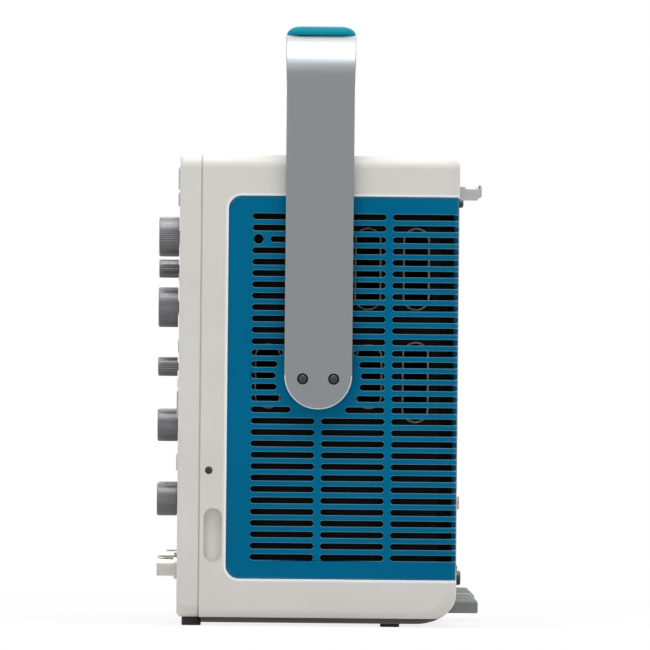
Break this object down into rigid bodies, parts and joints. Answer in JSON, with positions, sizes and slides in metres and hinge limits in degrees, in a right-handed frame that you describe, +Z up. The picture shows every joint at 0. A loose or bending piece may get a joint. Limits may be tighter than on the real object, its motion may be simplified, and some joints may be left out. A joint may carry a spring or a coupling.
{
  "type": "bench oscilloscope",
  "caption": "Bench oscilloscope with a wide screen, knob and key panel, slotted side grilles and a carrying handle that swings over the top.",
  "frame": {"origin": "on the resting surface, under the middle of the overall box", "axes": "+X to the operator's right, -Y towards the operator, +Z up"},
  "size_m": [0.439, 0.1584, 0.2942],
  "materials": {
    "cream_plastic": "fine texture",
    "panel_grey": "satin",
    "blue_plastic": "fine texture",
    "dark_plastic": "matte",
    "panel_metal": "satin",
    "light_plastic": "satin",
    "grey_plastic": "satin",
    "foot_rubber": "matte",
    "chassis_steel": "black coated",
    "board": "solder mask",
    "heat_sink_metal": "anodised",
    "display_metal": "metal tray over a light, part-filled stack",
    "screen_glass": "glossy",
    "jack_metal": "nickel plated",
    "key_rubber": "satin",
    "screw_steel": "plated",
    "handle_metal": "silver paint",
    "hub_metal": "machined",
    "knob_grey": "satin",
    "button_plastic": "satin"
  },
  "bodies": {
    "case": {"front_bezel": "cream_plastic", "control_panel": "panel_grey", "main_case": "cream_plastic", "right_grille": "blue_plastic", "left_grille": "blue_plastic", "base_plate": "dark_plastic", "rear_cover": "cream_plastic", "rear_panel": "panel_metal", "rear_standoffs": "grey_plastic", "rubber_feet": "foot_rubber", "chassis": "chassis_steel", "main_board": "board", "panel_board": "board", "encoders": "dark_plastic", "power_supply": "board", "heat_sink": "heat_sink_metal", "fan_frame": "dark_plastic", "display_module": "display_metal", "display_window": "screen_glass", "input_jacks": "jack_metal", "channel_light_bars": "light_plastic", "probe_lugs": "jack_metal", "front_usb_ports": "jack_metal", "menu_key_mat": "key_rubber", "ac_inlet": "dark_plastic", "rear_ports": "jack_metal", "case_screws": "screw_steel", "handle_hubs": "grey_plastic"},
    "handle": {"handle_frame": "handle_metal", "handle_grip": "blue_plastic", "handle_pivots": "hub_metal", "handle_screws": "screw_steel"},
    "fan": {"fan_rotor": "dark_plastic"},
    "left_foot": {"left_flip_foot": "grey_plastic"},
    "right_foot": {"right_flip_foot": "grey_plastic"},
    "multipurpose_knob_a_body": {"multipurpose_knob_a": "knob_grey"},
    "multipurpose_knob_b_body": {"multipurpose_knob_b": "knob_grey"},
    "horizontal_position_knob_body": {"horizontal_position_knob": "knob_grey"},
    "horizontal_scale_knob_body": {"horizontal_scale_knob": "knob_grey"},
    "trigger_level_knob_body": {"trigger_level_knob": "knob_grey"},
    "position_knob_1_body": {"position_knob_1": "knob_grey"},
    "scale_knob_1_body": {"scale_knob_1": "knob_grey"},
    "position_knob_2_body": {"position_knob_2": "knob_grey"},
    "scale_knob_2_body": {"scale_knob_2": "knob_grey"},
    "position_knob_3_body": {"position_knob_3": "knob_grey"},
    "scale_knob_3_body": {"scale_knob_3": "knob_grey"},
    "position_knob_4_body": {"position_knob_4": "knob_grey"},
    "scale_knob_4_body": {"scale_knob_4": "knob_grey"},
    "run_stop_button_body": {"run_stop_button": "button_plastic"},
    "single_button_body": {"single_button": "button_plastic"},
    "power_button_body": {"power_button": "button_plastic"},
    "channel_button_1_body": {"channel_button_1": "button_plastic"},
    "channel_button_2_body": {"channel_button_2": "button_plastic"},
    "channel_button_3_body": {"channel_button_3": "button_plastic"},
    "channel_button_4_body": {"channel_button_4": "button_plastic"},
    "side_key_1_body": {"side_key_1": "button_plastic"},
    "side_key_2_body": {"side_key_2": "button_plastic"},
    "side_key_3_body": {"side_key_3": "button_plastic"},
    "side_key_4_body": {"side_key_4": "button_plastic"},
    "side_key_5_body": {"side_key_5": "button_plastic"}
  },
  "joints": [
    {"name": "handle_swing", "type": "hinge", "parent": "case", "child": "handle", "pos_m": [0, -0.0005, 0.1223], "axis": [-1, 0, 0], "range_deg": [-90, 120]},
    {"name": "fan_spin", "type": "hinge", "parent": "case", "child": "fan", "pos_m": [-0.192, 0.003, 0.0586], "axis": [1, 0, 0], "continuous": true},
    {"name": "left_foot_fold", "type": "hinge", "parent": "case", "child": "left_foot", "pos_m": [-0.15, -0.046, 0.0056], "axis": [-1, 0, 0], "range_deg": [0, 80]},
    {"name": "right_foot_fold", "type": "hinge", "parent": "case", "child": "right_foot", "pos_m": [0.15, -0.046, 0.0056], "axis": [-1, 0, 0], "range_deg": [0, 80]},
    {"name": "multipurpose_knob_a_turn", "type": "hinge", "parent": "case", "child": "multipurpose_knob_a_body", "pos_m": [0.138, -0.074, 0.1905], "axis": [0, 1, 0], "continuous": true},
    {"name": "multipurpose_knob_b_turn", "type": "hinge", "parent": "case", "child": "multipurpose_knob_b_body", "pos_m": [0.176, -0.074, 0.1905], "axis": [0, 1, 0], "continuous": true},
    {"name": "horizontal_position_knob_turn", "type": "hinge", "parent": "case", "child": "horizontal_position_knob_body", "pos_m": [0.152, -0.074, 0.1748], "axis": [0, 1, 0], "continuous": true},
    {"name": "horizontal_scale_knob_turn", "type": "hinge", "parent": "case", "child": "horizontal_scale_knob_body", "pos_m": [0.176, -0.074, 0.1558], "axis": [0, 1, 0], "continuous": true},
    {"name": "trigger_level_knob_turn", "type": "hinge", "parent": "case", "child": "trigger_level_knob_body", "pos_m": [0.176, -0.074, 0.1267], "axis": [0, 1, 0], "continuous": true},
    {"name": "position_knob_1_turn", "type": "hinge", "parent": "case", "child": "position_knob_1_body", "pos_m": [0.062, -0.074, 0.0979], "axis": [0, 1, 0], "continuous": true},
    {"name": "scale_knob_1_turn", "type": "hinge", "parent": "case", "child": "scale_knob_1_body", "pos_m": [0.062, -0.074, 0.0615], "axis": [0, 1, 0], "continuous": true},
    {"name": "position_knob_2_turn", "type": "hinge", "parent": "case", "child": "position_knob_2_body", "pos_m": [0.1, -0.074, 0.0979], "axis": [0, 1, 0], "continuous": true},
    {"name": "scale_knob_2_turn", "type": "hinge", "parent": "case", "child": "scale_knob_2_body", "pos_m": [0.1, -0.074, 0.0615], "axis": [0, 1, 0], "continuous": true},
    {"name": "position_knob_3_turn", "type": "hinge", "parent": "case", "child": "position_knob_3_body", "pos_m": [0.138, -0.074, 0.0979], "axis": [0, 1, 0], "continuous": true},
    {"name": "scale_knob_3_turn", "type": "hinge", "parent": "case", "child": "scale_knob_3_body", "pos_m": [0.138, -0.074, 0.0615], "axis": [0, 1, 0], "continuous": true},
    {"name": "position_knob_4_turn", "type": "hinge", "parent": "case", "child": "position_knob_4_body", "pos_m": [0.176, -0.074, 0.0979], "axis": [0, 1, 0], "continuous": true},
    {"name": "scale_knob_4_turn", "type": "hinge", "parent": "case", "child": "scale_knob_4_body", "pos_m": [0.176, -0.074, 0.0615], "axis": [0, 1, 0], "continuous": true},
    {"name": "run_stop_button_press", "type": "slide", "parent": "case", "child": "run_stop_button_body", "axis": [0, 1, 0], "range_m": [0, 0.0008], "stiffness_N_per_m": 500, "springref_m": -0.0006},
    {"name": "single_button_press", "type": "slide", "parent": "case", "child": "single_button_body", "axis": [0, 1, 0], "range_m": [0, 0.0008], "stiffness_N_per_m": 500, "springref_m": -0.0006},
    {"name": "power_button_press", "type": "slide", "parent": "case", "child": "power_button_body", "axis": [0, 1, 0], "range_m": [0, 0.0008], "stiffness_N_per_m": 500, "springref_m": -0.0006},
    {"name": "channel_button_1_press", "type": "slide", "parent": "case", "child": "channel_button_1_body", "axis": [0, 1, 0], "range_m": [0, 0.0008], "stiffness_N_per_m": 500, "springref_m": -0.0006},
    {"name": "channel_button_2_press", "type": "slide", "parent": "case", "child": "channel_button_2_body", "axis": [0, 1, 0], "range_m": [0, 0.0008], "stiffness_N_per_m": 500, "springref_m": -0.0006},
    {"name": "channel_button_3_press", "type": "slide", "parent": "case", "child": "channel_button_3_body", "axis": [0, 1, 0], "range_m": [0, 0.0008], "stiffness_N_per_m": 500, "springref_m": -0.0006},
    {"name": "channel_button_4_press", "type": "slide", "parent": "case", "child": "channel_button_4_body", "axis": [0, 1, 0], "range_m": [0, 0.0008], "stiffness_N_per_m": 500, "springref_m": -0.0006},
    {"name": "side_key_1_press", "type": "slide", "parent": "case", "child": "side_key_1_body", "axis": [0, 1, 0], "range_m": [0, 0.0008], "stiffness_N_per_m": 500, "springref_m": -0.0006},
    {"name": "side_key_2_press", "type": "slide", "parent": "case", "child": "side_key_2_body", "axis": [0, 1, 0], "range_m": [0, 0.0008], "stiffness_N_per_m": 500, "springref_m": -0.0006},
    {"name": "side_key_3_press", "type": "slide", "parent": "case", "child": "side_key_3_body", "axis": [0, 1, 0], "range_m": [0, 0.0008], "stiffness_N_per_m": 500, "springref_m": -0.0006},
    {"name": "side_key_4_press", "type": "slide", "parent": "case", "child": "side_key_4_body", "axis": [0, 1, 0], "range_m": [0, 0.0008], "stiffness_N_per_m": 500, "springref_m": -0.0006},
    {"name": "side_key_5_press", "type": "slide", "parent": "case", "child": "side_key_5_body", "axis": [0, 1, 0], "range_m": [0, 0.0008], "stiffness_N_per_m": 500, "springref_m": -0.0006}
  ]
}
